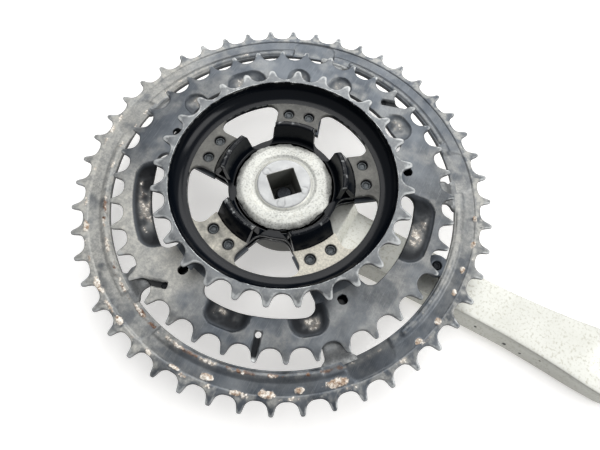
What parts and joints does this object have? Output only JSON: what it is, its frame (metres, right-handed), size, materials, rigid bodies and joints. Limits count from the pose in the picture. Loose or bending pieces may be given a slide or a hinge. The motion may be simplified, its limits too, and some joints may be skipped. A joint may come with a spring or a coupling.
{
  "type": "bicycle crankset",
  "caption": "Right-hand square-taper bicycle crank arm with a riveted stack of large, middle and small chainrings and a dust cap.",
  "frame": {"origin": "Centre of the underside of the bounding box, with the crankset lying on its outboard side. The crank axis is the vertical line x = -0.0426 m, y = 0.", "axes": "+X along the crank arm from the crank axis to the pedal eye, +Z along the crank axis towards the bicycle frame, +Y completes the right-handed frame."},
  "size_m": [0.2856, 0.2004, 0.0387],
  "materials": {
    "cast_silver": "satin cast aluminium with machined hub face",
    "black_enamel": "glossy black enamel, worn at the edges",
    "dark_steel": "worn dark grey coating with dried dirt and rust",
    "rivet_steel": "dull",
    "bolt_steel": "black oxide",
    "cap_plastic": "moulded"
  },
  "bodies": {
    "crankset": {"crank_arm": "cast_silver", "spider": "black_enamel", "spider_base_plate": "black_enamel", "inner_chainring": "black_enamel", "middle_chainring": "dark_steel", "outer_chainring": "dark_steel", "tab_rivet_1": "rivet_steel", "tab_rivet_2": "rivet_steel", "tab_rivet_3": "rivet_steel", "tab_rivet_4": "rivet_steel", "tab_rivet_5": "rivet_steel", "tab_rivet_6": "rivet_steel", "tab_rivet_7": "rivet_steel", "tab_rivet_8": "rivet_steel", "tab_rivet_9": "rivet_steel", "tab_rivet_10": "rivet_steel", "ring_rivet_1": "rivet_steel", "ring_rivet_2": "rivet_steel", "ring_rivet_3": "rivet_steel", "ring_rivet_4": "rivet_steel", "ring_rivet_5": "rivet_steel", "raise_pin_1": "dark_steel", "raise_pin_2": "dark_steel", "chain_drop_pin": "dark_steel", "bolt_washer": "rivet_steel"},
    "bolt": {"fixing_bolt": "bolt_steel"},
    "cap": {"dust_cap": "cap_plastic"}
  },
  "joints": [
    {"name": "bolt_turn", "type": "hinge", "parent": "crankset", "child": "bolt", "pos_m": [-0.04259, 0, 0.0095], "axis": [0, 0, 1], "continuous": true},
    {"name": "cap_pull", "type": "slide", "parent": "crankset", "child": "cap", "axis": [0, 0, -1], "range_m": [0, 0.012]}
  ]
}
